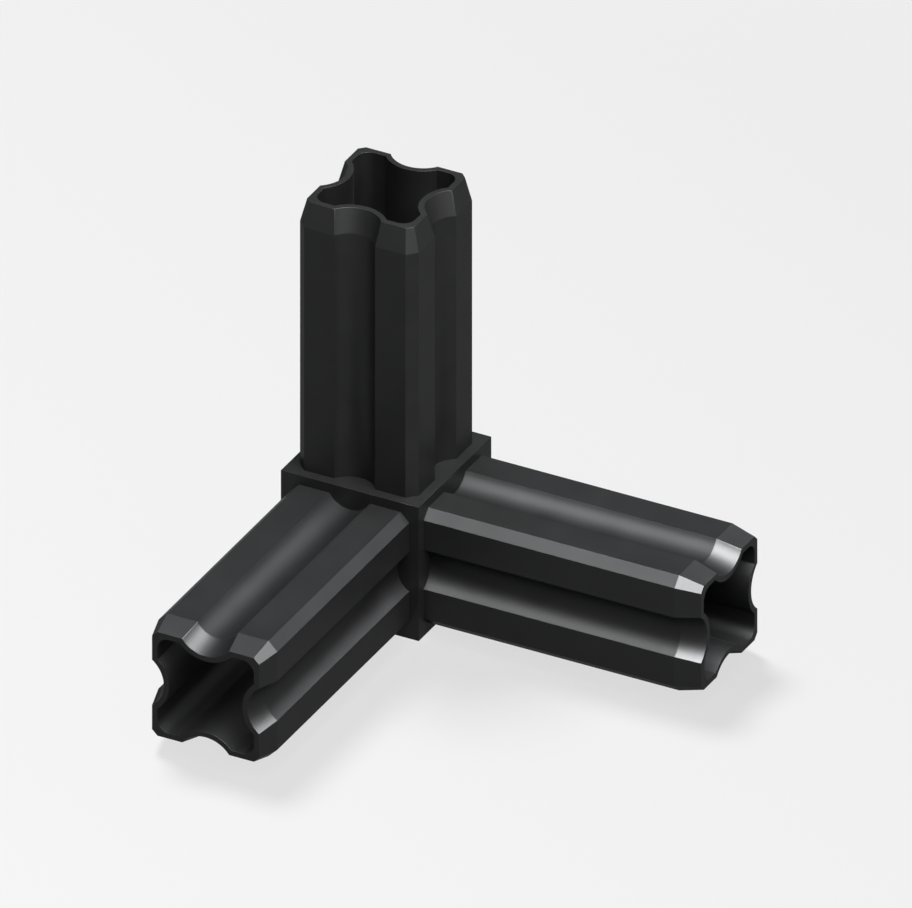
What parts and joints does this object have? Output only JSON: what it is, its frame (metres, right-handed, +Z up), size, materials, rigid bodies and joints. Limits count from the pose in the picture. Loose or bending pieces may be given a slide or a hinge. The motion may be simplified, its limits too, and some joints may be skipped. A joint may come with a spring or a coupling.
{
  "type": "three-way corner connector",
  "caption": "Moulded plastic corner connector: a cube hub with hollow, channelled limbs along three right-angled axes, each of which plugs into the end of a square tube.",
  "frame": {"origin": "middle of the hub's underside, on the axis of the upright limb", "axes": "+X, +Y and +Z along the three limbs, out of the hub; +Z up, with the hub's underside on z = 0"},
  "size_m": [0.0701, 0.0701, 0.0702],
  "materials": {
    "black_plastic": "satin black moulded plastic with a fine even grain"
  },
  "bodies": {
    "root": {"corner_connector": "black_plastic"}
  },
  "joints": []
}
